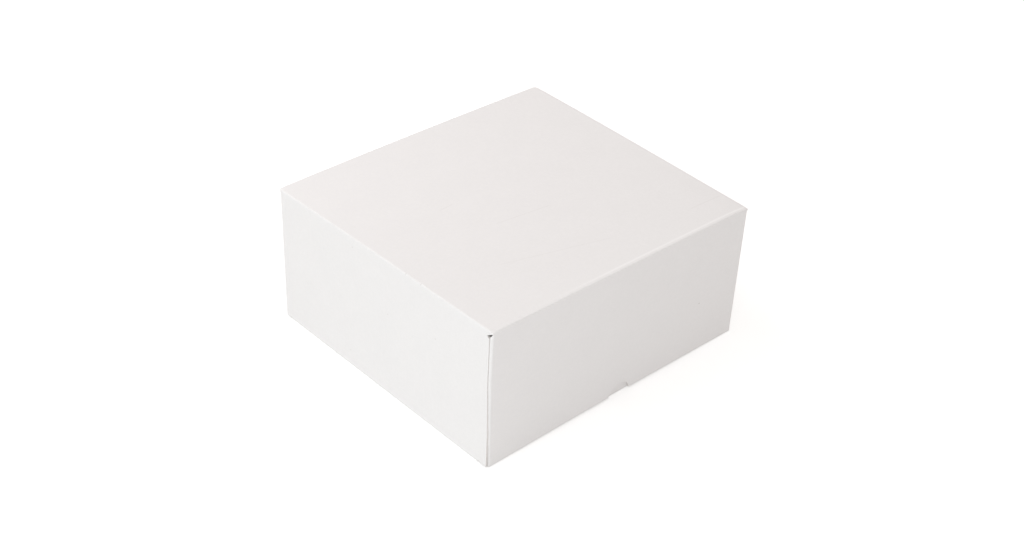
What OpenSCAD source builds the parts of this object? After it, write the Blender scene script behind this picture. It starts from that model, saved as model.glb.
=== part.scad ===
// Cake box in white micro-corrugated board: a deep lid that drops over a low tray.
// Lid and tray are folded from one flat blank each, by the same pattern. The two end walls
// are single board with a flap at each end. The two side walls are rolled over at the rim,
// so that an outer and an inner panel hold the flaps between them.
// Origin: middle of the base. X runs along the end walls, Y along the side walls, Z up.

/* [Lid] */
// Outside width, along X
box_w = 240; // [180:1:400]
// Outside depth, along Y
box_d = 220; // [180:1:400]
// Outside height
box_h = 108; // [80:1:250]

/* [Tray] */
// Height of the tray's walls
tray_h = 40; // [25:1:70]
// Play between the tray and the inside of the lid, on each side
tray_play = 0.8; // [0.5:0.1:3]

/* [Board] */
// Thickness of the board
board_t = 1.5; // [1:0.1:2.5]
// Radius on the inside of each fold
crease_r = 0.5; // [0.3:0.1:1.5]
// Radius on the outside of each fold, smaller than it would be if the board weren't crushed
fold_round = 1; // [0.5:0.1:1.2]
// Play between two panels that lie flat on each other
layer_gap = 0.25; // [0.1:0.05:0.6]

/* [Side walls] */
// From the end wall's face back to the cut edge of the side wall's outer panel
seam_setback = 2.6; // [1:0.1:4]
// Depth of the small V cut in that edge, beside the corner of the main panel
relief_w = 2; // [1:0.5:6]
// Height of the V's tip above the fold
relief_drop = 2; // [1:0.5:4]
// Height of the V's lower side
relief_h = 2; // [1:0.5:6]
// From the end wall's face to where the rolled rim stops
rim_stop = 8.5; // [7:0.5:25]
// Slit beside each end of the rolled rim
rim_slit = 0.5; // [0.3:0.1:1]
// How far the outer panel's corners stay short of the rim's height
rim_lift = 0.8; // [0.2:0.1:2]
// Height over which the inner panel widens below the rim
shoulder_h = 4; // [2:0.5:10]
// Play between the inner panel's ends and the end walls
inner_play = 1; // [0.5:0.1:3]
// Play between the inner panel's free edge and the main panel
inner_edge_play = 0.5; // [0.2:0.1:2]
// Bevel on the inner panel's free corners
inner_bevel = 6; // [2:0.5:12]

/* [Flaps] */
// Length of each flap from the end wall's face
flap_len = 70; // [30:1:80]
// Bevel of the flap's edge beside the upright fold
flap_bevel = 3; // [1:0.5:6]
// Further rise of that edge over the flap's length
flap_rise = 2; // [0:0.5:8]
// Height up to which the folds of two neighbouring walls stay joined at the corner
mitre_h = 1; // [0.6:0.1:1.8]

/* [Thumb notches] */
// Width of the half-moon notch in the lid's end walls, at the rim
notch_w = 20; // [18:0.5:40]
// Height of the notch
notch_h = 8.5; // [4:0.5:9]

/* [Colours] */
// White liner of the lid
lid_colour = "#EFEDEB";
// White liner of the tray
tray_colour = "#E8E5E2";

/* [Hidden] */
$fn = 48;

fold_r = board_t + crease_r;
stack_t = 3 * board_t + 2 * layer_gap;

tray_w = box_w - 2 * (stack_t + tray_play);
tray_d = box_d - 2 * (board_t + tray_play);

// Extra length of a cutting body past the faces it cuts
cut_over = 1;

// Section of one fold in the quadrant x > 0, y > 0, with its crease at the origin
module fold_section() {
    flat = fold_r - fold_round;
    intersection() {
        difference() {
            union() {
                translate([flat, flat])
                    circle(r = fold_round);
                square([fold_r, flat]);
                square([flat, fold_r]);
            }
            circle(r = crease_r);
        }
        square(fold_r);
    }
}

// A section drawn in X and Z, drawn out along Y over the given length
module along_y(length) {
    rotate([90, 0, 0])
        linear_extrude(height = length, center = true)
            children();
}

// A section drawn in Y and Z, drawn out along X over the given length
module along_x(length) {
    rotate([90, 0, 90])
        linear_extrude(height = length, center = true)
            children();
}

// A board whose outline is drawn in Y and Z, its outer face at X = x
module board_across_x(x) {
    translate([x - board_t / 2, 0, 0])
        along_x(board_t)
            children();
}

// The child and its mirror image across the X = 0 plane
module both_sides() {
    children();
    mirror([1, 0, 0])
        children();
}

// The child and its mirror image across the Y = 0 plane
module both_ends() {
    children();
    mirror([0, 1, 0])
        children();
}

// Half width of an end wall, out to the faces of its flaps
function end_half(w) = w / 2 - board_t - layer_gap;

// Half width of an end wall between its two upright folds
function end_flat_half(w) = end_half(w) - fold_r;

// Half length of the rolled rim
function rim_half(d) = d / 2 - rim_stop;

// The large panel that closes the box, its outer face at Z = 0
module main_panel(w, d) {
    translate([0, 0, board_t / 2])
        cube([w - 2 * fold_r, d - 2 * fold_r, board_t], center = true);
}

// Fold from the main panel to the outer panel of the side wall at +X
module side_fold(w, d, length) {
    translate([w / 2 - fold_r, 0, fold_r])
        along_y(length)
            mirror([0, 1])
                fold_section();
}

// Fold from the main panel to the end wall at -Y
module end_fold(d, length) {
    translate([0, -d / 2 + fold_r, fold_r])
        along_x(length)
            rotate(180)
                fold_section();
}

// Corner at +X, -Y, where the two folds meet in a mitre above the slit between the walls
module corner_mitre(w, d) {
    x_side = w / 2 - fold_r;
    y_end = -d / 2 + fold_r;
    x_flat = end_flat_half(w);
    intersection() {
        side_fold(w, d, d);
        linear_extrude(height = mitre_h)
            polygon([[x_side, y_end], [w / 2, -d / 2], [w / 2, y_end]]);
    }
    intersection() {
        end_fold(d, w);
        linear_extrude(height = mitre_h)
            polygon([[x_flat, y_end], [x_flat, -d / 2], [w / 2, -d / 2], [x_side, y_end]]);
    }
}

// Outer panel of the side wall at +X, with the small V cuts beside its fold
module side_outer_panel(w, d, h) {
    y_seam = d / 2 - seam_setback;
    y_fold = d / 2 - fold_r;
    y_rim = rim_half(d);
    z_tip = fold_r + relief_drop;
    z_rim = h - fold_r;
    right = [
        [y_fold, fold_r], [y_seam - relief_w, z_tip], [y_seam, z_tip + relief_h],
        [y_seam, h - rim_lift], [y_rim + rim_slit, h - rim_lift], [y_rim + rim_slit, z_rim]
    ];
    left = [for (i = [len(right) - 1 : -1 : 0]) [-right[i][0], right[i][1]]];
    board_across_x(w / 2)
        polygon(concat(right, left));
}

// Rim of the side wall at +X, rolled inward over the flaps
module rolled_rim(w, d, h) {
    x_out = w / 2 - fold_r;
    x_in = w / 2 - stack_t + fold_r;
    z_fold = h - fold_r;
    along_y(2 * rim_half(d)) {
        translate([x_out, z_fold])
            fold_section();
        translate([x_in, h - board_t])
            square([x_out - x_in, board_t]);
        translate([x_in, z_fold])
            mirror([1, 0])
                fold_section();
    }
}

// Inner panel of the side wall at +X, tucked down behind the flaps
module side_inner_panel(w, d, h) {
    y_rim = rim_half(d);
    y_wide = d / 2 - board_t - inner_play;
    z_rim = h - fold_r;
    z_edge = board_t + inner_edge_play;
    right = [
        [y_wide - inner_bevel, z_edge], [y_wide, z_edge + inner_bevel],
        [y_wide, z_rim - shoulder_h], [y_rim, z_rim]
    ];
    left = [for (i = [len(right) - 1 : -1 : 0]) [-right[i][0], right[i][1]]];
    board_across_x(w / 2 - stack_t + board_t)
        polygon(concat(right, left));
}

// Half-moon notch in the rim of the end wall at -Y
module thumb_notch(d, h) {
    notch_r = (pow(notch_w / 2, 2) + pow(notch_h, 2)) / (2 * notch_h);
    translate([0, -d / 2 + board_t / 2, h - notch_h + notch_r])
        rotate([90, 0, 0])
            cylinder(h = board_t + 2 * cut_over, r = notch_r, center = true);
}

// End wall at -Y: one board between two upright folds
module end_panel(w, d, h) {
    translate([0, -d / 2 + board_t / 2, (fold_r + h) / 2])
        cube([2 * end_flat_half(w), board_t, h - fold_r], center = true);
}

// Upright fold between the end wall at -Y and its flap at +X
module corner_fold(w, d, h) {
    translate([end_flat_half(w), -d / 2 + fold_r, mitre_h])
        linear_extrude(height = h - mitre_h)
            mirror([0, 1])
                fold_section();
}

// Flap of the end wall at -Y, lying between the two panels of the side wall at +X
module corner_flap(w, d, h) {
    y_fold = -d / 2 + fold_r;
    y_free = -d / 2 + flap_len;
    y_foot = -rim_half(d) - layer_gap;
    z_bevel = mitre_h + flap_bevel;
    z_under_rim = h - board_t - layer_gap;
    board_across_x(end_half(w))
        polygon([
            [y_fold, mitre_h], [y_fold + flap_bevel, z_bevel], [y_free, z_bevel + flap_rise],
            [y_free, z_under_rim], [y_foot, z_under_rim], [y_foot, h], [y_fold, h]
        ]);
}

// A tray folded from one blank, standing on its main panel
module folded_tray(w, d, h, notched) {
    main_panel(w, d);
    both_sides() {
        side_fold(w, d, d - 2 * fold_r);
        side_outer_panel(w, d, h);
        rolled_rim(w, d, h);
        side_inner_panel(w, d, h);
    }
    both_ends() {
        end_fold(d, 2 * end_flat_half(w));
        difference() {
            end_panel(w, d, h);
            if (notched)
                thumb_notch(d, h);
        }
        both_sides() {
            corner_mitre(w, d);
            corner_fold(w, d, h);
            corner_flap(w, d, h);
        }
    }
}

// Deep lid: the folded tray turned over, with thumb notches in its end walls
module lid() {
    color(lid_colour)
        translate([0, 0, box_h])
            mirror([0, 0, 1])
                folded_tray(box_w, box_d, box_h, true);
}

// Low tray that carries the cake and stands inside the lid
module tray() {
    color(tray_colour)
        folded_tray(tray_w, tray_d, tray_h, false);
}

lid();
tray();
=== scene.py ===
import math

import bpy
from mathutils import Matrix, Vector


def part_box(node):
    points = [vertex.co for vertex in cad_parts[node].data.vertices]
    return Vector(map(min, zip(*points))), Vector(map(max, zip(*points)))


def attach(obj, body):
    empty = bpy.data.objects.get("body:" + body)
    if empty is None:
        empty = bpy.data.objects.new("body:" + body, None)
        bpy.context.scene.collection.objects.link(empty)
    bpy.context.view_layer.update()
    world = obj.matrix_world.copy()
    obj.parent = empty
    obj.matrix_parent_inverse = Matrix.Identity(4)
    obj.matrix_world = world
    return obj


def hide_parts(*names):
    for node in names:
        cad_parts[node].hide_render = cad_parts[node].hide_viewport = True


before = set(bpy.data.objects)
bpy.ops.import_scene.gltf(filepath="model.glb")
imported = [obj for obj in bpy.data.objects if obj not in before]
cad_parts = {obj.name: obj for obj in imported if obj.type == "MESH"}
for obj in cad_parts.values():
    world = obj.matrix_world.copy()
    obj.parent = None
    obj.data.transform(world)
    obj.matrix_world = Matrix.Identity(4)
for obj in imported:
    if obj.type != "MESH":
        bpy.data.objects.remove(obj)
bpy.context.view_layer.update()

# Lengths are in metres, worked out from millimetres with MM.
MM = 0.001

# The board and its folds
BOARD_T = 1.5 * MM
CREASE_R = 0.5 * MM
FOLD_ROUND = 1 * MM
LAYER_GAP = 0.25 * MM
FOLD_R = BOARD_T + CREASE_R
FOLD_FLAT = FOLD_R - FOLD_ROUND
STACK_T = 3 * BOARD_T + 2 * LAYER_GAP

# The side walls: outer panel, rolled rim and inner panel
SEAM_SETBACK = 2.6 * MM
RELIEF_W = 2 * MM
RELIEF_DROP = 2.2 * MM
RELIEF_H = 2 * MM
RIM_STOP = 8.5 * MM
RIM_SLIT = 0.5 * MM
RIM_LIFT = 0.8 * MM
SHOULDER_H = 4 * MM
INNER_PLAY = 1 * MM
INNER_EDGE_PLAY = 0.5 * MM
INNER_BEVEL = 6 * MM

# The flaps of the end walls, pressed against the outer panels
FLAP_LEN = 70 * MM
FLAP_PLAY = 0.05 * MM
FLAP_BEVEL_W = 2.8 * MM
FLAP_BEVEL_H = 4.5 * MM
FLAP_RISE = 2 * MM

# Where the folds of two neighbouring walls meet, they are joined up to this height above the main panel
TIP_H = 0.4 * MM

# The lid's near corner gapes open, as in the photograph. The others are this much more closed
WIDE_CORNER = (-1, -1)
CLOSED_SHARE = 0.25

# At that corner the upright fold bulges out beside the seam, most near the top, and the seam leans.
# Each pair is a distance from the main panel and how far the fold or the seam is out of place, in mm
BULGE = [(0, 0.95), (10, 1.45), (40, 1.4), (105, -0.4)]
BULGE_PAST_SEAM = 0.5 * MM
BULGE_FADE = 0.9 * MM
SEAM_LEAN = [(0, 0.4), (40, 0.2), (80, -1.5), (108, -1.8)]

# The thumb notches in the lid's end walls
NOTCH_W = 20 * MM
NOTCH_H = 8.5 * MM
NOTCH_OFFSET = 2.5 * MM

# How finely the sheets are divided
PANEL_STEP = 5 * MM
FINE_STEP = PANEL_STEP / 8
FOLD_STEPS = 8
ARC_START = 2
NOTCH_STEPS = 28
NEAR_FOLD = [0.3 * MM, 0.8 * MM, 1.5 * MM, 2.4 * MM, 3.6 * MM]
SAME_PLACE = 7
SHARP_TURN = math.radians(30)

# An area, in square metres, and a length, in metres, too small to matter
NO_AREA = 1e-14
NO_LENGTH = 1e-9

# Flutes of the board, which run along the blank's X, and the paper's streaks beside them
FLUTE_PITCH_MM = 3.2
STREAK_SHARE = 0.05

# Marks on the outside of the lid, on its flat blank in mm: start, end, half width and darkness
LID_MARKS = [
    ((78.5, -174.7), (78.5, -174.7), 0.75, 0.7),
    ((-127.2, 28.4), (-127.2, 28.4), 0.7, 0.3),
    ((-161.4, -8.6), (-161.4, -8.6), 0.7, 0.3),
    ((-154.0, -56.8), (-154.0, -56.8), 0.7, 0.3),
    ((-214.6, 32.4), (-214.6, 32.4), 0.7, 0.3),
    ((-119.4, -41.5), (-120.4, -41.5), 0.7, 0.2),
    ((-119.4, -26.5), (-120.4, -26.5), 0.7, 0.2),
    ((-33.5, -18.1), (10.3, -22.9), 0.5, 0.09),
    ((-64.5, -56.7), (15.9, -78.6), 0.5, 0.07),
    ((-53.3, 17.9), (-42.0, 18.7), 0.5, 0.1),
    ((86.1, -86.2), (115.1, -86.8), 0.5, 0.09),
]

# The painted highlight, a paler line along the lid's front fold: its middle and half width, and where along
# it it begins, in mm
HIGHLIGHT_AT = 106.9
HIGHLIGHT_HALF = 1.3
HIGHLIGHT_FROM = -70
HIGHLIGHT_FULL = -10


def camera():
    """The photograph's viewpoint: a long lens, a third of the way up, turned 44 degrees to the box."""
    place = Vector((-0.6885, -0.7121, 0.7246))
    looked_at = Vector((-0.0149, -0.0162, 0.054))
    data = bpy.data.cameras.new("camera")
    data.sensor_width = 36
    data.lens = 59.13
    data.clip_start = 0.01
    data.clip_end = 50
    camera_object = bpy.data.objects.new("camera", data)
    bpy.context.scene.collection.objects.link(camera_object)
    turn = (looked_at - place).to_track_quat("-Z", "Y").to_matrix().to_4x4()
    roll = Matrix.Rotation(math.radians(3.044), 4, "Z")
    camera_object.matrix_world = Matrix.Translation(place) @ turn @ roll
    bpy.context.scene.camera = camera_object


class Sheet:
    """A folded board: points on its outer liner, each with its point on the inner liner and on the blank."""

    def __init__(self):
        self.places = []
        self.backs = []
        self.flats = []
        self.faces = []
        self.known = {}

    def point(self, place, back, flat):
        """The number of the point at this place, new or shared with a patch made before."""
        key = tuple(round(c, SAME_PLACE) for c in place)
        if key not in self.known:
            self.known[key] = len(self.places)
            self.places.append(Vector(place))
            self.backs.append(Vector(back))
            self.flats.append(flat)
        return self.known[key]

    def patch(self, rows):
        """Faces between neighbouring rows of (place, back, flat). Corners that meet are joined."""
        numbers = [[self.point(*entry) for entry in row] for row in rows]
        for low, high in zip(numbers, numbers[1:]):
            for a, b, c, d in zip(low, low[1:], high[1:], high):
                corners = list(dict.fromkeys((a, b, c, d)))
                if len(corners) > 2:
                    self.add_face(corners)

    def add_face(self, corners):
        """One face, turned so that it points away from the inner liner."""
        points = [self.places[i] for i in corners]
        across = Vector()
        for p, q in zip(points[1:], points[2:]):
            across += (p - points[0]).cross(q - points[0])
        if across.length < NO_AREA:
            return
        out = sum((self.places[i] - self.backs[i] for i in corners), Vector())
        self.faces.append(corners if across.dot(out) > 0 else corners[::-1])

    def edges_of_cut(self):
        """The directed edges that only one face has: the board's cut edges."""
        directed = set()
        for face in self.faces:
            directed.update(zip(face, face[1:] + face[:1]))
        return [(a, b) for a, b in sorted(directed) if (b, a) not in directed]

    def turns_of_cut(self, cut):
        """The points where the cut edge turns sharply."""
        after = dict(cut)
        turns = set()
        for a, b in cut:
            c = after.get(b)
            if c is not None:
                come = self.places[b] - self.places[a]
                go = self.places[c] - self.places[b]
                if come.angle(go) > SHARP_TURN:
                    turns.add(b)
        return turns


def levels(low, high, step, near_low=(), near_high=(), at=()):
    """Rising numbers from low to high, at most step apart, with finer steps near the ends."""
    marks = {low, high}
    marks.update(low + n for n in near_low)
    marks.update(high - n for n in near_high)
    marks.update(at)
    marks = sorted(m for m in marks if low <= m <= high)
    filled = [marks[0]]
    for a, b in zip(marks, marks[1:]):
        count = max(1, math.ceil((b - a) / step))
        filled += [a + (b - a) * i / count for i in range(1, count)] + [b]
    return filled


def mirrored(values):
    """The values and their negatives, rising, with no value twice."""
    return sorted({-v for v in values} | set(values))


def merged(*lists):
    """All the values, rising, with no value twice."""
    return sorted(set().union(*lists))


def clamp(value, limit):
    """The value, kept between minus limit and limit."""
    return max(-limit, min(limit, value))


def between(pairs, place):
    """The value at that place, in metres, on straight lines between pairs of place and value in mm."""
    at = place / MM
    for (a, low), (b, high) in zip(pairs, pairs[1:]):
        if at <= b:
            return (low + (high - low) * (at - a) / (b - a)) * MM
    return pairs[-1][1] * MM


def fold_steps():
    """Steps across a fold, from the first panel to the second. Each gives the outer liner's distance from the
    crease towards the second panel and towards the first, and the length of liner so far."""
    outline = [(0, FOLD_R), (FOLD_FLAT / 2, FOLD_R)]
    for i in range(FOLD_STEPS + 1):
        a = math.pi / 2 * i / FOLD_STEPS
        outline.append((FOLD_FLAT + FOLD_ROUND * math.sin(a), FOLD_FLAT + FOLD_ROUND * math.cos(a)))
    outline += [(FOLD_R, FOLD_FLAT / 2), (FOLD_R, 0)]
    steps = []
    run = 0
    for before, here in zip(outline[:1] + outline, outline):
        run += math.dist(before, here)
        steps.append((here[0], here[1], run))
    return steps


def squeeze(out, down):
    """How much nearer to the crease the inner liner lies than the outer one, in that direction."""
    return CREASE_R / math.hypot(out, down)


def beyond(value, limit, factor):
    """The value, with what is beyond the limit on either side made smaller by the factor."""
    near = clamp(value, limit)
    return near + (value - near) * factor


class TrayShape:
    """The sizes of one folded tray that follow from its outside width, depth and height."""

    def __init__(self, w, d, h, is_lid):
        self.w = w
        self.d = d
        self.h = h
        self.is_lid = is_lid
        self.steps = fold_steps()
        self.fold_run = self.steps[-1][2]
        self.x_side = w / 2 - FOLD_R
        self.x_face = w / 2 - BOARD_T - FLAP_PLAY
        self.x_flat = self.x_face - FOLD_R
        self.y_end = d / 2 - FOLD_R
        self.y_seam = d / 2 - SEAM_SETBACK
        self.y_rim = d / 2 - RIM_STOP
        self.y_slit = self.y_rim + RIM_SLIT
        self.y_wide = d / 2 - BOARD_T - INNER_PLAY
        self.z_rim = h - FOLD_R
        self.z_under_rim = h - BOARD_T - LAYER_GAP
        self.notch_r = ((NOTCH_W / 2) ** 2 + NOTCH_H ** 2) / (2 * NOTCH_H)
        self.columns_y = levels(0, self.y_rim, PANEL_STEP)
        self.columns_x = self.end_columns()
        self.panel_ys = mirrored(self.columns_y + levels(self.y_slit, self.y_end, FINE_STEP))
        corner_xs = [self.x_flat + out for out, down, run in self.steps if down == FOLD_R]
        bulged_xs = [-x - self.bulge(FOLD_ROUND, -1, -1) for x in corner_xs[1:]]
        self.panel_xs = merged(self.columns_x, mirrored(corner_xs + [self.x_side]), bulged_xs)
        at = [FOLD_R, FOLD_R + NEAR_FOLD[0], FOLD_R + NEAR_FOLD[1], self.z_under_rim]
        self.rows_z = levels(FOLD_ROUND, h, PANEL_STEP, NEAR_FOLD[1:], NEAR_FOLD[:2], at)

    def end_columns(self):
        """The columns across an end wall, finer round the thumb notch."""
        half_angle = math.asin(NOTCH_W / 2 / self.notch_r)
        angles = [half_angle * i / NOTCH_STEPS for i in range(1 - NOTCH_STEPS, NOTCH_STEPS)]
        left = levels(-self.x_flat, NOTCH_OFFSET - NOTCH_W / 2, PANEL_STEP, NEAR_FOLD)
        right = levels(NOTCH_OFFSET + NOTCH_W / 2, self.x_flat, PANEL_STEP, (), NEAR_FOLD)
        return left + [NOTCH_OFFSET + self.notch_r * math.sin(a) for a in angles] + right

    def rim_height(self, x):
        """Height of an end wall's rim, lower at the thumb notch."""
        away = abs(x - NOTCH_OFFSET)
        if not self.is_lid or away >= NOTCH_W / 2:
            return self.h
        return self.h - NOTCH_H + self.notch_r - math.sqrt(self.notch_r ** 2 - away ** 2)

    def is_wide(self, side, end):
        """Whether this is the lid's near corner, which gapes."""
        return self.is_lid and (side, end) == WIDE_CORNER

    def gape(self, side, end):
        """How far a corner gapes, from 0 to 1."""
        return 1.0 if self.is_wide(side, end) else CLOSED_SHARE

    def bulge(self, z, side, end):
        """How far the upright fold of a corner bulges out at that height."""
        return between(BULGE, z) if self.is_wide(side, end) else 0.0

    def flap_bulge(self, y, z, side, end):
        """How much of the bulge is left in the flap, at that distance from the end wall's face."""
        seam = self.d / 2 - self.seam_line(z, side, end)
        return max(0.0, min(1.0, (seam + BULGE_PAST_SEAM - y) / BULGE_FADE))

    def seam_line(self, z, side, end):
        """Where the outer panel of a side wall ends at that height, without the V cut."""
        return self.y_seam - (between(SEAM_LEAN, z) if self.is_wide(side, end) else 0.0)

    def seam_at(self, z, side, end):
        """Where the outer panel of a side wall ends at that height, with the V cut beside its fold."""
        share = self.gape(side, end)
        seam = self.seam_line(z, side, end)
        tip = seam - RELIEF_W * share
        rise = (z - FOLD_R) / share
        if rise <= RELIEF_DROP:
            return self.y_end + (tip - self.y_end) * rise / RELIEF_DROP
        return min(seam, tip + RELIEF_W * share * (rise - RELIEF_DROP) / RELIEF_H)

    def side_reach(self, out, down):
        """How far the fold of a side wall goes on past the main panel's corner, at one step of the fold."""
        height = max(TIP_H, FOLD_R - down)
        return min(out, FOLD_R * (FOLD_R - height) / (FOLD_R - TIP_H))

    def flap_edge(self, run, side, end):
        """Height of the flap's edge above the main panel, at that length from the end wall."""
        past = max(0.0, run - self.fold_run / 2)
        steep = min(1.0, past / FLAP_BEVEL_W) * self.gape(side, end)
        gentle = max(0.0, past - FLAP_BEVEL_W) / (FLAP_LEN - FLAP_BEVEL_W)
        return FOLD_ROUND + FLAP_BEVEL_H * steep + FLAP_RISE * gentle


def main_panel(sheet, s):
    """The large panel, in the plane Z = 0, its outer liner facing down."""
    xs = [clamp(x, s.x_side) for x in s.panel_xs]
    sheet.patch([[((x, y, 0), (x, y, BOARD_T), (x, y)) for x in xs] for y in s.panel_ys])


def side_wall(sheet, s, side):
    """The side wall at X = side: fold, outer panel, rolled rim and inner panel."""
    ys = merged(s.panel_ys, mirrored([s.y_seam] + [s.y_end + out for out, down, run in s.steps]))

    def row(place, back, run, limits, columns, factor=1):
        (x, z), (back_x, back_z) = place, back
        ends = [max(-limits[0], min(limits[1], y)) for y in columns]
        return [((side * x, y, z), (side * back_x, beyond(y, s.y_end, factor), back_z),
                 (side * (s.x_side + run), y)) for y in ends]

    outer = []
    for out, down, run in s.steps:
        f = squeeze(out, down)
        place = (s.x_side + out, FOLD_R - down)
        back = (s.x_side + out * f, FOLD_R - down * f)
        reach = s.y_end + s.side_reach(out, down)
        outer.append(row(place, back, run, (reach, reach), ys, f))
    x_back = s.w / 2 - BOARD_T
    bends = [FOLD_R + (RELIEF_DROP + h) * share for h in (0, RELIEF_H) for share in (1, CLOSED_SHARE)]
    for z in levels(FOLD_R, s.z_rim, PANEL_STEP, NEAR_FOLD, NEAR_FOLD[:2], bends)[1:]:
        seams = (s.seam_at(z, side, -1), s.seam_at(z, side, 1))
        outer.append(row((s.w / 2, z), (x_back, z), s.fold_run + z - FOLD_R, seams, ys))
    sheet.patch(outer)
    start = s.fold_run + s.z_rim - FOLD_R

    ear_ys = [y for y in ys if y >= s.y_slit]
    for end in (-1, 1):
        ear = []
        for z in levels(s.z_rim, s.h - RIM_LIFT, FINE_STEP):
            seam = s.seam_at(z, side, end)
            columns = [end * y for y in ear_ys]
            ear.append(row((s.w / 2, z), (x_back, z), start + z - s.z_rim, (seam, seam), columns))
        sheet.patch(ear)

    inner_ys = mirrored(s.columns_y + levels(s.y_slit, s.y_wide, PANEL_STEP))
    x_in = s.w / 2 - STACK_T
    x_crease = x_in + FOLD_R
    stop = (s.y_rim, s.y_rim)
    rim = []
    for out, down, run in s.steps:
        f = squeeze(out, down)
        back = (s.x_side + down * f, s.z_rim + out * f)
        rim.append(row((s.x_side + down, s.z_rim + out), back, start + run, stop, inner_ys))
    start += s.fold_run + s.x_side - x_crease
    for out, down, run in s.steps:
        f = squeeze(out, down)
        back = (x_crease - out * f, s.z_rim + down * f)
        rim.append(row((x_crease - out, s.z_rim + down), back, start + run, stop, inner_ys))
    start += s.fold_run
    edge = BOARD_T + INNER_EDGE_PLAY
    bends = [s.z_rim - SHOULDER_H, edge + INNER_BEVEL]
    for z in reversed(levels(edge, s.z_rim, PANEL_STEP, (), NEAR_FOLD[:3], bends)[:-1]):
        limit = s.y_rim + (s.y_wide - s.y_rim) * min(1.0, (s.z_rim - z) / SHOULDER_H)
        limit -= INNER_BEVEL * max(0.0, 1 - (z - edge) / INNER_BEVEL)
        rim.append(row((x_in, z), (x_in + BOARD_T, z), start + s.z_rim - z, (limit, limit), inner_ys))
    sheet.patch(rim)


def end_wall(sheet, s, end):
    """The end wall at Y = end: fold, single panel and, in the lid, a thumb notch in its rim."""
    xs = merged(s.panel_xs, mirrored([s.x_side + out for out, down, run in s.steps]))
    fold = []
    for out, down, run in s.steps:
        if down >= FOLD_FLAT:
            f = squeeze(out, down)
            y, y_back = end * (s.y_end + out), end * (s.y_end + out * f)
            z, z_back = FOLD_R - down, FOLD_R - down * f
            ends = [clamp(x, s.x_side + out) for x in xs]
            fold.append([((x, y, z), (beyond(x, s.x_side, f), y_back, z_back), (x, end * (s.y_end + run)))
                         for x in ends])
    sheet.patch(fold)

    y, y_back = end * s.d / 2, end * (s.d / 2 - BOARD_T)
    panel = []
    for z in s.rows_z:
        heights = [min(z, s.rim_height(x)) for x in s.columns_x]
        panel.append([((x, y, top), (x, y_back, top), (x, end * (s.y_end + s.fold_run + top - FOLD_R)))
                      for x, top in zip(s.columns_x, heights)])
    sheet.patch(panel)


def corner_flap(sheet, s, side, end):
    """The upright fold at a corner and the flap behind it, held inside the side wall."""
    flat_y = s.y_end + s.fold_run - FOLD_R

    def entry(place, back, z, run, bulged):
        (x, y), (back_x, back_y) = place, back
        out = s.bulge(z, side, end) * bulged
        return ((side * (x + out), end * y, z), (side * (back_x + out), end * back_y, z),
                (side * (s.x_flat + run), end * (flat_y + z)))

    columns = []
    straight = FOLD_FLAT + s.bulge(FOLD_ROUND, side, end)
    for x in sorted(side * x for x in s.panel_xs):
        if -NO_LENGTH <= x - s.x_flat <= straight + NO_LENGTH:
            share = (x - s.x_flat) / straight
            out = FOLD_FLAT * share
            f = squeeze(out, FOLD_R)
            back = (s.x_flat + out * f, s.y_end + FOLD_R * f)
            columns.append([entry((s.x_flat + out, s.d / 2), back, z, out, share) for z in s.rows_z])
    for out, down, run in s.steps[ARC_START + 1:]:
        f = squeeze(out, down)
        place = (s.x_flat + out, s.y_end + down)
        back = (s.x_flat + out * f, s.y_end + down * f)
        low = s.flap_edge(run, side, end)
        columns.append([entry(place, back, max(z, low), run, 1) for z in s.rows_z])
    foot = s.d / 2 - (s.y_rim + LAYER_GAP)
    bevel_end = FOLD_R + FLAP_BEVEL_W - s.fold_run / 2
    for y in levels(FOLD_R, FLAP_LEN, PANEL_STEP, NEAR_FOLD[:2], (), [bevel_end, foot])[1:]:
        run = s.fold_run + y - FOLD_R
        low = s.flap_edge(run, side, end)
        place, back = (s.x_face, s.d / 2 - y), (s.x_face - BOARD_T, s.d / 2 - y)
        tops = [s.h, s.z_under_rim] if y == foot else [s.h if y < foot else s.z_under_rim]
        for top in tops:
            heights = [min(top, max(z, low)) for z in s.rows_z]
            columns.append([entry(place, back, z, run, s.flap_bulge(y, z, side, end)) for z in heights])
    sheet.patch(columns)


def folded_sheet(s):
    """The outer liner of one whole tray, standing on its main panel."""
    sheet = Sheet()
    main_panel(sheet, s)
    for side in (-1, 1):
        side_wall(sheet, s, side)
    for end in (-1, 1):
        end_wall(sheet, s, end)
        for side in (-1, 1):
            corner_flap(sheet, s, side, end)
    return sheet


def board_mesh(name, sheet, place_of, upside_down):
    """A closed board: the sheet's outer liner, its inner liner behind it, and the cut edges.
    place_of(place) settles each point, and material 1 is the cut edge."""
    count = len(sheet.places)
    points = [place_of(p) for p in sheet.places + sheet.backs]
    cut = sheet.edges_of_cut()
    faces = [list(f) for f in sheet.faces]
    faces += [[i + count for i in reversed(f)] for f in sheet.faces]
    faces += [[b, a, a + count, b + count] for a, b in cut]
    if upside_down:
        faces = [f[::-1] for f in faces]
    mesh = bpy.data.meshes.new(name)
    mesh.from_pydata(points, [], faces)
    first_cut = len(faces) - len(cut)
    mesh.polygons.foreach_set("use_smooth", [True] * len(faces))
    mesh.polygons.foreach_set("material_index", [int(i >= first_cut) for i in range(len(faces))])
    blank = mesh.uv_layers.new(name="blank")
    across = mesh.uv_layers.new(name="through_board")
    for loop in mesh.loops:
        behind = loop.vertex_index >= count
        blank.data[loop.index].uv = sheet.flats[loop.vertex_index - count * behind]
        across.data[loop.index].uv = (float(behind), 0)
    sharp = {frozenset(e) for e in cut} | {frozenset((a + count, b + count)) for a, b in cut}
    sharp |= {frozenset((i, i + count)) for i in sheet.turns_of_cut(cut)}
    for edge in mesh.edges:
        edge.use_edge_sharp = frozenset(edge.vertices) in sharp
    mesh.validate()
    mesh.update()
    return mesh


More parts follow.
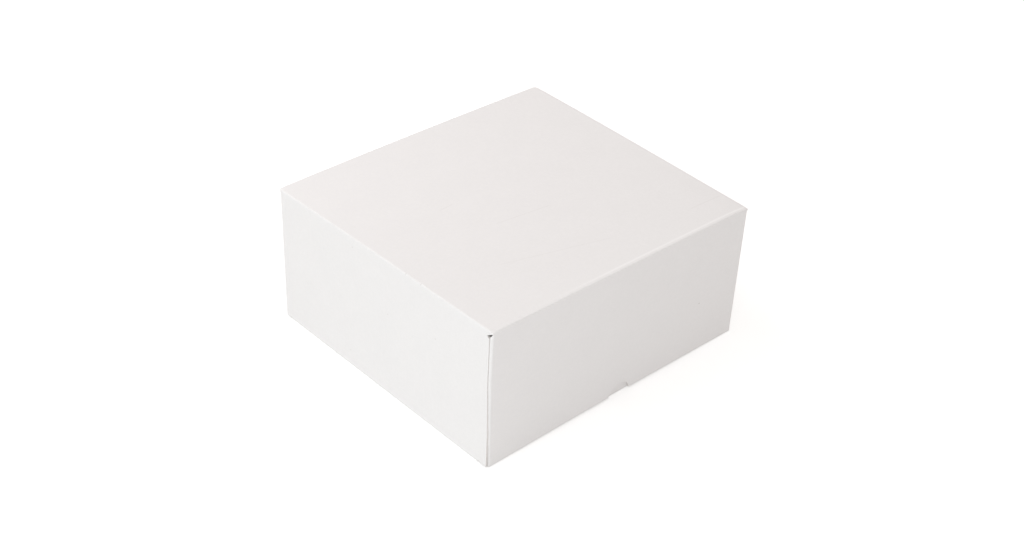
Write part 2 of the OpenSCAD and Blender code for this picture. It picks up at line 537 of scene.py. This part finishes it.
def outside(node):
    """Width, depth and height of a CAD node."""
    low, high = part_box(node)
    return high[0] - low[0], high[1] - low[1], high[2] - low[2]


# How the lid has settled

# Shift of the lid's corners from a true box, as measured in the photograph: signs of x, y, z, then mm
CORNER_SHIFT = {
    (-1, -1, 1): (0.7, 0.19, 1.06),
    (1, -1, 1): (-0.68, -0.66, -1.93),
    (-1, 1, 1): (-1.21, 0.49, -0.58),
    (1, 1, 1): (0.74, -0.67, 0.1),
    (-1, -1, -1): (0.01, -0.29, 0),
    (1, -1, -1): (0.47, 0.87, 0),
    (-1, 1, -1): (-0.04, 0.08, 0),
}

# The top's crown, higher at the back by this share than halfway
TOP_CROWN = 0.9 * MM
CROWN_HALFWAY = 0.67
CROWN_TO_BACK = 0.33

# The arch of the front wall's rim and the rise of its fold towards the right, with the powers that keep the
# one near the front wall and end the other close to the corner
FRONT_RIM_ARCH = 1.2 * MM
FRONT_ONLY = 6
FRONT_FOLD_RISE = 1.4 * MM
RISE_END = 12

# The rounding of the upright corners and the droop of the top ones
CORNER_ROUND = 2.2 * MM
CORNER_DROOP = 0.7 * MM
DROOP_REACH = 3 * MM

# How the tray's front wall leans on the lid's: forward at the middle, more to the left, less higher up
TRAY_LEAN = 0.4 * MM
TRAY_LEAN_ACROSS = 0.67 * MM
TRAY_LEAN_UP = 0.4


def corner_shift(u, v, k):
    """The shift between the corners, at u and v from -1 to 1 and at k from 0 at the rim to 1 at the top."""
    total = Vector()
    for (sx, sy, sz), shift in CORNER_SHIFT.items():
        weight = (1 + sx * u) / 2 * (1 + sy * v) / 2 * (k if sz > 0 else 1 - k)
        total += Vector(shift) * MM * weight
    return total


def rounded(p, w, d):
    """The point, drawn in where it lies outside the rounding of an upright corner. The near one is crisp."""
    if (math.copysign(1, p.x), math.copysign(1, p.y)) == WIDE_CORNER:
        return p
    past = Vector((max(0.0, abs(p.x) - w / 2 + CORNER_ROUND), max(0.0, abs(p.y) - d / 2 + CORNER_ROUND)))
    if past.length > CORNER_ROUND:
        pull = past * (1 - CORNER_ROUND / past.length)
        p.x -= math.copysign(pull.x, p.x)
        p.y -= math.copysign(pull.y, p.y)
    return p


def droop(p, w, d):
    """How far a top corner droops at that point."""
    a = max(0.0, abs(p.x) - w / 2 + DROOP_REACH) / DROOP_REACH
    b = max(0.0, abs(p.y) - d / 2 + DROOP_REACH) / DROOP_REACH
    return CORNER_DROOP * a * b


def settle_lid(w, d, h):
    """Returns the function that puts a point of the lid's upright tray in its place on the closed box."""
    def place_of(place):
        p = Vector((place.x, place.y, h - place.z))
        p.z -= droop(p, w, d) * p.z / h
        p = rounded(p, w, d)
        u = clamp(2 * p.x / w, 1)
        v = clamp(2 * p.y / d, 1)
        k = max(0.0, min(1.0, p.z / h))
        crown = TOP_CROWN * (1 - u * u * v * v) * (CROWN_HALFWAY + CROWN_TO_BACK * v) * k * k
        arch = FRONT_RIM_ARCH * (1 - u * u) * (1 - k) ** 2 * max(0.0, -v) ** FRONT_ONLY
        rise = FRONT_FOLD_RISE * (1 + u) / 2 * (1 - u ** RISE_END) * max(0.0, -v) ** 2 * k * k
        return p + corner_shift(u, v, k) + Vector((0, 0, crown + arch + rise))
    return place_of


def settle_tray(w, d, h):
    """Returns the function that puts a point of the tray in its place, its front wall leaning on the lid."""
    def place_of(place):
        u = 2 * place.x / w
        front = (1 - 2 * place.y / d) / 2
        lean = TRAY_LEAN - TRAY_LEAN_ACROSS * u
        return place - Vector((0, lean * front * (1 - TRAY_LEAN_UP * place.z / h), 0))
    return place_of


# Materials

# Sizes of the paper's patterns, as noise scales per metre, and how much the two larger ones count
CLOUD_SCALE = 45.0
MOTTLE_SCALE = 420.0
FIBRE_SCALE = 900.0
FELT_SCALE = 2600.0
STREAK_SCALE = 480.0
PATCH_SCALE = 16.0
CLOUD_SHARE = 1.1
MOTTLE_SHARE = 1.8

# How much darkening the paper has on average, its roughness, and how much the fibres change that
MEAN_SHADE = 0.35
PAPER_ROUGHNESS = 0.58
FIBRE_ROUGHNESS = 0.2

# Shares of the paper's relief: the felt's beside the fibres' and the streaks' beside the flutes'
FELT_RELIEF = 0.5
STREAK_RELIEF = 2.5

# The cut edge, across the board from 0 to 1: swing and half thickness of the flute, half width between the
# liners, how much painted shade darkens the hollows, and how deep they look in mm
FLUTE_SWING = 0.3
FLUTE_HALF = 0.13
LINERS_APART = 0.36
HOLLOW_PAINTED_SHADE = 0.3
HOLLOW_RELIEF = -0.06


def new_material(name):
    """An empty node material, its tree and its Principled shader."""
    material = bpy.data.materials.new(name)
    material.use_nodes = True
    tree = material.node_tree
    shader = tree.nodes["Principled BSDF"]
    return material, tree, shader


def add(tree, kind, **values):
    """A node of that kind. Values name its properties, or its inputs by i and their number."""
    node = tree.nodes.new(kind)
    for key, value in values.items():
        if key[0] == "i" and key[1:].isdigit():
            node.inputs[int(key[1:])].default_value = value
        else:
            setattr(node, key, value)
    return node


def math_node(tree, operation, a, b=None):
    """A Math node of two inputs, each a number or a socket, and its result."""
    node = tree.nodes.new("ShaderNodeMath")
    node.operation = operation
    for socket, value in zip(node.inputs, (a, b)):
        if value is None:
            continue
        if isinstance(value, (int, float)):
            socket.default_value = value
        else:
            tree.links.new(value, socket)
    return node.outputs[0]


def mix_colours(tree, factor, a, b):
    """A colour between a and b, each a colour or a socket."""
    node = tree.nodes.new("ShaderNodeMix")
    node.data_type = "RGBA"
    for socket, value in ((node.inputs[0], factor), (node.inputs[6], a), (node.inputs[7], b)):
        if isinstance(value, bpy.types.NodeSocket):
            tree.links.new(value, socket)
        else:
            socket.default_value = value
    return node.outputs[2]


def new_group(name, inputs, outputs):
    """A shader node group with named sockets, its input node and its output node."""
    group = bpy.data.node_groups.new(name, "ShaderNodeTree")
    for label, kind, value in inputs:
        socket = group.interface.new_socket(label, in_out="INPUT", socket_type=kind)
        socket.default_value = value
    for label, kind in outputs:
        group.interface.new_socket(label, in_out="OUTPUT", socket_type=kind)
    return group, group.nodes.new("NodeGroupInput"), group.nodes.new("NodeGroupOutput")


def place_group(tree, group, **values):
    """The group as a node of a material, with its own values."""
    node = tree.nodes.new("ShaderNodeGroup")
    node.node_tree = group
    for label, value in values.items():
        node.inputs[label.replace("_", " ")].default_value = value
    return node


def paper_group():
    """White liner paper: a faint cloudiness, a mottle, its fibres, and a height for bump in millimetres."""
    group, into, out = new_group(
        "liner paper",
        [("Light", "NodeSocketColor", (1, 1, 1, 1)), ("Shade", "NodeSocketColor", (0.9, 0.9, 0.9, 1)),
         ("Cloud", "NodeSocketFloat", 0.5), ("Fibre height", "NodeSocketFloat", 0.01)],
        [("Colour", "NodeSocketColor"), ("Roughness", "NodeSocketFloat"), ("Height", "NodeSocketFloat")])
    place = group.nodes.new("ShaderNodeTexCoord")
    cloud = add(group, "ShaderNodeTexNoise", i2=CLOUD_SCALE, i3=3.0, i4=0.55)
    mottle = add(group, "ShaderNodeTexNoise", i2=MOTTLE_SCALE, i3=2.0, i4=0.6)
    fibre = add(group, "ShaderNodeTexNoise", i2=FIBRE_SCALE, i3=3.0, i4=0.6)
    felt = add(group, "ShaderNodeTexNoise", i2=FELT_SCALE, i3=2.0, i4=0.5)
    for texture in (cloud, mottle, fibre, felt):
        group.links.new(place.outputs["Object"], texture.inputs["Vector"])
    cloudy = math_node(group, "MULTIPLY", math_node(group, "SUBTRACT", cloud.outputs[0], 0.5), CLOUD_SHARE)
    mottled = math_node(group, "MULTIPLY", math_node(group, "SUBTRACT", mottle.outputs[0], 0.5), MOTTLE_SHARE)
    fine = math_node(group, "SUBTRACT", fibre.outputs[0], 0.5)
    mixed = math_node(group, "ADD", math_node(group, "ADD", cloudy, mottled), fine)
    shade = math_node(group, "MULTIPLY", mixed, into.outputs["Cloud"])
    factor = math_node(group, "ADD", shade, MEAN_SHADE)
    factor.node.use_clamp = True
    colour = mix_colours(group, factor, into.outputs["Light"], into.outputs["Shade"])
    group.links.new(colour, out.inputs["Colour"])
    rough = math_node(group, "MULTIPLY", fine, FIBRE_ROUGHNESS)
    rough = math_node(group, "ADD", rough, PAPER_ROUGHNESS)
    group.links.new(rough, out.inputs["Roughness"])
    felted = math_node(group, "MULTIPLY", felt.outputs[0], FELT_RELIEF)
    grain = math_node(group, "ADD", fibre.outputs[0], felted)
    group.links.new(math_node(group, "MULTIPLY", grain, into.outputs["Fibre height"]), out.inputs["Height"])
    return group


def flute_group():
    """The flutes that show through the liner as faint, uneven ribs along the blank's X. Height in
    millimetres, and Wave, the flute's place from -1 to 1, for the cut edges."""
    group, into, out = new_group(
        "flutes",
        [("Pitch mm", "NodeSocketFloat", FLUTE_PITCH_MM), ("Rib height", "NodeSocketFloat", 0.02)],
        [("Height", "NodeSocketFloat"), ("Wave", "NodeSocketFloat")])
    flat = add(group, "ShaderNodeUVMap", uv_map="blank")
    split = group.nodes.new("ShaderNodeSeparateXYZ")
    group.links.new(flat.outputs["UV"], split.inputs[0])
    y_mm = math_node(group, "DIVIDE", split.outputs["Y"], MM)
    turns = math_node(group, "DIVIDE", y_mm, into.outputs["Pitch mm"])
    wave = math_node(group, "SINE", math_node(group, "MULTIPLY", turns, 2 * math.pi))
    patchy = add(group, "ShaderNodeTexNoise", i2=PATCH_SCALE, i3=2.0, i4=0.5)
    group.links.new(flat.outputs["UV"], patchy.inputs["Vector"])
    drawn_out = add(group, "ShaderNodeVectorMath", operation="MULTIPLY", i1=(STREAK_SHARE, 1, 1))
    group.links.new(flat.outputs["UV"], drawn_out.inputs[0])
    streak = add(group, "ShaderNodeTexNoise", i2=STREAK_SCALE, i3=2.0, i4=0.5)
    group.links.new(drawn_out.outputs[0], streak.inputs["Vector"])
    uneven = math_node(group, "MULTIPLY", math_node(group, "SUBTRACT", streak.outputs[0], 0.5), STREAK_RELIEF)
    ribs = math_node(group, "ADD", math_node(group, "MULTIPLY", wave, patchy.outputs[0]), uneven)
    group.links.new(math_node(group, "MULTIPLY", ribs, into.outputs["Rib height"]), out.inputs["Height"])
    group.links.new(wave, out.inputs["Wave"])
    return group


def vector_math(tree, operation, a, b):
    """A Vector Math node of two inputs, each a vector or a socket."""
    node = tree.nodes.new("ShaderNodeVectorMath")
    node.operation = operation
    for socket, value in zip(node.inputs, (a, b)):
        if isinstance(value, bpy.types.NodeSocket):
            tree.links.new(value, socket)
        else:
            socket.default_value = value
    return node


def mark_group():
    """A speck or a hairline on the blank: 1 on the line from Start, 0 at its half width. Lengths in mm."""
    group, into, out = new_group(
        "mark",
        [("Start", "NodeSocketVector", (0, 0, 0)), ("Direction", "NodeSocketVector", (1, 0, 0)),
         ("Length", "NodeSocketFloat", 0.0), ("Half width", "NodeSocketFloat", 0.5)],
        [("Mask", "NodeSocketFloat")])
    flat = add(group, "ShaderNodeUVMap", uv_map="blank")
    in_mm = vector_math(group, "DIVIDE", flat.outputs["UV"], (MM, MM, 1))
    away = vector_math(group, "SUBTRACT", in_mm.outputs[0], into.outputs["Start"])
    along = vector_math(group, "DOT_PRODUCT", away.outputs[0], into.outputs["Direction"]).outputs["Value"]
    along = math_node(group, "MAXIMUM", along, 0.0)
    along = math_node(group, "MINIMUM", along, into.outputs["Length"])
    nearest = group.nodes.new("ShaderNodeVectorMath")
    nearest.operation = "SCALE"
    group.links.new(into.outputs["Direction"], nearest.inputs[0])
    group.links.new(along, nearest.inputs["Scale"])
    distance = vector_math(group, "DISTANCE", away.outputs[0], nearest.outputs[0]).outputs["Value"]
    mask = math_node(group, "SUBTRACT", 1.0, math_node(group, "DIVIDE", distance, into.outputs["Half width"]))
    mask.node.use_clamp = True
    group.links.new(mask, out.inputs["Mask"])
    return group


def outer_side(tree):
    """1 on the outer liner and 0 on the inner one."""
    through = add(tree, "ShaderNodeUVMap", uv_map="through_board")
    split = tree.nodes.new("ShaderNodeSeparateXYZ")
    tree.links.new(through.outputs["UV"], split.inputs[0])
    return math_node(tree, "SUBTRACT", 1.0, split.outputs["X"])


def painted_highlight_mask(tree):
    """A painted highlight: the paler line beside the fold of the lid's front wall."""
    flat = add(tree, "ShaderNodeUVMap", uv_map="blank")
    split = tree.nodes.new("ShaderNodeSeparateXYZ")
    tree.links.new(flat.outputs["UV"], split.inputs[0])
    y_mm = math_node(tree, "DIVIDE", split.outputs["Y"], MM)
    off = math_node(tree, "ABSOLUTE", math_node(tree, "ADD", y_mm, HIGHLIGHT_AT))
    line = math_node(tree, "SUBTRACT", 1.0, math_node(tree, "DIVIDE", off, HIGHLIGHT_HALF))
    line.node.use_clamp = True
    x_mm = math_node(tree, "DIVIDE", split.outputs["X"], MM)
    past = math_node(tree, "SUBTRACT", x_mm, HIGHLIGHT_FROM)
    grown = math_node(tree, "DIVIDE", past, HIGHLIGHT_FULL - HIGHLIGHT_FROM)
    grown.node.use_clamp = True
    return math_node(tree, "MULTIPLY", line, grown)


def specks_and_painted_highlight(tree, colour, marks):
    """The lid's paper colour with the painted highlight along its front fold and its few specks and
    hairlines.
    """
    outer = outer_side(tree)
    # Painted highlight: the paper is made paler along the front fold, where light catches it
    painted_fold_highlight = math_node(tree, "MULTIPLY", painted_highlight_mask(tree), outer)
    colour = mix_colours(tree, painted_fold_highlight, colour, (0.895, 0.872, 0.87, 1))
    darkest = None
    for start, end, half_width, darkness in LID_MARKS:
        line = Vector(end) - Vector(start)
        direction = line.normalized() if line.length > 0 else Vector((1, 0))
        mark = place_group(tree, marks, Start=(*start, 0), Direction=(*direction, 0), Length=line.length,
                           Half_width=half_width)
        dark = math_node(tree, "MULTIPLY", mark.outputs["Mask"], darkness)
        darkest = dark if darkest is None else math_node(tree, "MAXIMUM", darkest, dark)
    return mix_colours(tree, math_node(tree, "MULTIPLY", darkest, outer), colour, (0.36, 0.3, 0.26, 1))


def liner_material(name, paper, flutes, light, shade, marks=None):
    """White-lined board: paper colour and fibre, with the flutes' faint ribs as bump. The lid's has marks and
    a painted highlight along its front fold.
    """
    material, tree, shader = new_material(name)
    surface = place_group(tree, paper, Light=light, Shade=shade, Cloud=0.45, Fibre_height=0.012)
    ribs = place_group(tree, flutes, Rib_height=0.012)
    colour = surface.outputs["Colour"]
    if marks:
        colour = specks_and_painted_highlight(tree, colour, marks)
    tree.links.new(colour, shader.inputs["Base Color"])
    tree.links.new(surface.outputs["Roughness"], shader.inputs["Roughness"])
    height = math_node(tree, "ADD", surface.outputs["Height"], ribs.outputs["Height"])
    bump = tree.nodes.new("ShaderNodeBump")
    bump.inputs["Strength"].default_value = 1
    bump.inputs["Distance"].default_value = MM
    tree.links.new(height, bump.inputs["Height"])
    tree.links.new(bump.outputs["Normal"], shader.inputs["Normal"])
    shader.inputs["Specular IOR Level"].default_value = 0.35
    return material


def cut_edge_material(name, paper, flutes):
    """A die-cut edge: two pale liners and the flute wave, with painted grey-brown shade in the hollows
    between them.
    """
    material, tree, shader = new_material(name)
    surface = place_group(tree, paper, Light=(0.84, 0.81, 0.795, 1), Shade=(0.77, 0.735, 0.71, 1),
                          Cloud=0.8, Fibre_height=0.02)
    ribs = place_group(tree, flutes)
    through = add(tree, "ShaderNodeUVMap", uv_map="through_board")
    split = tree.nodes.new("ShaderNodeSeparateXYZ")
    tree.links.new(through.outputs["UV"], split.inputs[0])
    depth = split.outputs["X"]
    centre = math_node(tree, "ADD", math_node(tree, "MULTIPLY", ribs.outputs["Wave"], FLUTE_SWING), 0.5)
    from_flute = math_node(tree, "ABSOLUTE", math_node(tree, "SUBTRACT", depth, centre))
    off_flute = math_node(tree, "GREATER_THAN", from_flute, FLUTE_HALF)
    from_middle = math_node(tree, "ABSOLUTE", math_node(tree, "SUBTRACT", depth, 0.5))
    inside = math_node(tree, "LESS_THAN", from_middle, LINERS_APART)
    hollow = math_node(tree, "MULTIPLY", off_flute, inside)
    # Painted shade: the hollows between the liners are darkened towards grey-brown
    painted_hollow_shade = math_node(tree, "MULTIPLY", hollow, HOLLOW_PAINTED_SHADE)
    colour = mix_colours(tree, painted_hollow_shade, surface.outputs["Colour"], (0.55, 0.51, 0.47, 1))
    tree.links.new(colour, shader.inputs["Base Color"])
    shader.inputs["Roughness"].default_value = 0.85
    bump = tree.nodes.new("ShaderNodeBump")
    bump.inputs["Strength"].default_value = 1
    bump.inputs["Distance"].default_value = MM
    sunk = math_node(tree, "MULTIPLY", hollow, HOLLOW_RELIEF)
    tree.links.new(math_node(tree, "ADD", surface.outputs["Height"], sunk), bump.inputs["Height"])
    tree.links.new(bump.outputs["Normal"], shader.inputs["Normal"])
    shader.inputs["Specular IOR Level"].default_value = 0.2
    return material


# Pieces

def board_piece(name, node, mesh, materials):
    """The finished board, in place of its CAD node and riding on the node's body."""
    piece = bpy.data.objects.new(name, mesh)
    bpy.context.scene.collection.objects.link(piece)
    for material in materials:
        mesh.materials.append(material)
    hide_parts(node)
    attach(piece, node)
    return piece


def make_boards():
    """The lid and the tray."""
    paper = paper_group()
    flutes = flute_group()
    lid_liner = liner_material("white_liner", paper, flutes, (0.845, 0.82, 0.819, 1), (0.8, 0.777, 0.776, 1),
                               mark_group())
    # The tray's liner is a darker copy of the lid's: painted shade for its wall, seen recessed inside the
    # lid's thumb notch
    tray_liner = liner_material("tray_liner", paper, flutes, (0.825, 0.8, 0.799, 1), (0.78, 0.757, 0.756, 1))
    edge = cut_edge_material("board_edge", paper, flutes)
    w, d, h = outside("lid")
    lid_sheet = folded_sheet(TrayShape(w, d, h, True))
    lid_mesh = board_mesh("lid_folded_board", lid_sheet, settle_lid(w, d, h), True)
    board_piece("lid_folded_board", "lid", lid_mesh, (lid_liner, edge))
    w, d, h = outside("tray")
    tray_sheet = folded_sheet(TrayShape(w, d, h, False))
    tray_mesh = board_mesh("tray_folded_board", tray_sheet, settle_tray(w, d, h), False)
    board_piece("tray_folded_board", "tray", tray_mesh, (tray_liner, edge))


# Studio

def floor():
    """A wide pale floor. It keeps the box's shadow, and looks white to the camera."""
    mesh = bpy.data.meshes.new("floor")
    reach = 12.0
    mesh.from_pydata([(-reach, -reach, 0), (reach, -reach, 0), (reach, reach, 0), (-reach, reach, 0)],
                     [], [(0, 1, 2, 3)])
    plane = bpy.data.objects.new("floor", mesh)
    bpy.context.scene.collection.objects.link(plane)
    material, tree, shader = new_material("pale_floor")
    shader.inputs["Base Color"].default_value = (0.86, 0.86, 0.86, 1)
    shader.inputs["Roughness"].default_value = 0.9
    shader.inputs["Specular IOR Level"].default_value = 0
    rays = tree.nodes.new("ShaderNodeLightPath")
    shader.inputs["Emission Color"].default_value = (1, 1, 1, 1)
    glow = 0.05
    seen_glow = 0.36
    seen = math_node(tree, "MULTIPLY", rays.outputs["Is Camera Ray"], seen_glow - glow)
    lift = math_node(tree, "ADD", seen, glow)
    tree.links.new(lift, shader.inputs["Emission Strength"])
    mesh.materials.append(material)


def surroundings():
    """A soft white studio, plain white where the camera looks past the floor."""
    world = bpy.data.worlds.new("studio")
    bpy.context.scene.world = world
    world.use_nodes = True
    tree = world.node_tree
    background = tree.nodes["Background"]
    rays = tree.nodes.new("ShaderNodeLightPath")
    seen = math_node(tree, "MAXIMUM", rays.outputs["Is Camera Ray"], rays.outputs["Is Glossy Ray"])
    seen = math_node(tree, "MAXIMUM", seen, rays.outputs["Is Transmission Ray"])
    fill = 0.74
    strength = math_node(tree, "ADD", math_node(tree, "MULTIPLY", seen, 1 - fill), fill)
    background.inputs["Color"].default_value = (1, 0.97, 0.94, 1)
    tree.links.new(strength, background.inputs["Strength"])


def lamp(name, place, aim, size, power, colour):
    """A square soft box that shines from place to aim."""
    data = bpy.data.lights.new(name, "AREA")
    data.shape = "SQUARE"
    data.size = size
    data.energy = power
    data.color = colour
    lamp_object = bpy.data.objects.new(name, data)
    bpy.context.scene.collection.objects.link(lamp_object)
    turn = (Vector(aim) - Vector(place)).to_track_quat("-Z", "Y").to_matrix().to_4x4()
    lamp_object.matrix_world = Matrix.Translation(place) @ turn


def studio_lamps():
    """A soft window to the left, a soft box above the far left corner and a small card at the near left."""
    middle = (0, 0, 0.05)
    lamp("left_window", (-1.5, 0.35, 1.0), middle, 0.9, 2.7, (0.72, 0.98, 0.95))
    lamp("overhead_soft_box", (-0.35, 0.45, 0.9), middle, 0.6, 2.8, (0.97, 0.96, 1))
    lamp("near_left_card", (-0.9, -0.75, 0.35), middle, 0.5, 2.25, (0.85, 0.95, 1))


camera()
bpy.context.scene.view_settings.view_transform = "Standard"
make_boards()
floor()
surroundings()
studio_lamps()
